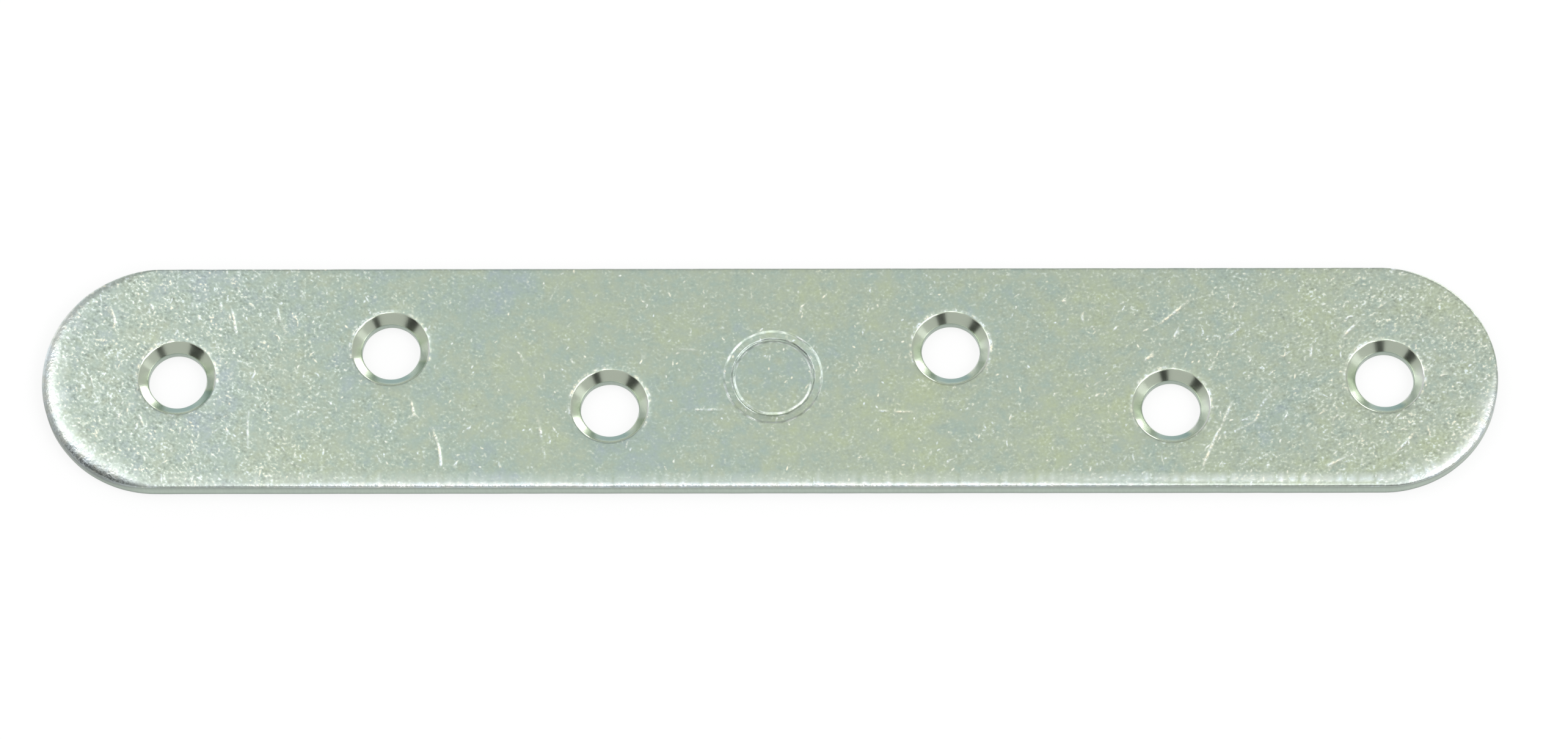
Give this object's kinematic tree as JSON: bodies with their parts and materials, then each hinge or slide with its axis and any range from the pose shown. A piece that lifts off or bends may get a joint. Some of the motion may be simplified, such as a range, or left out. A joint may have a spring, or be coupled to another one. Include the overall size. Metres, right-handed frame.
{
  "type": "mending plate",
  "caption": "Flat steel joining strip with round ends and countersunk screw holes in a zigzag, for fixing two boards end to end.",
  "frame": {"origin": "centre of the plate's outline on its underside, the face that lies against the boards", "axes": "+X along the plate, +Y across it, +Z out of the countersunk face, the way the screws leave"},
  "size_m": [0.1, 0.016, 0.0015],
  "materials": {
    "zinc_plated_steel": "bright zinc plate with a clear passivate, tumbled: satin, finely scratched and flecked"
  },
  "bodies": {
    "root": {"mending_plate": "zinc_plated_steel"}
  },
  "joints": []
}
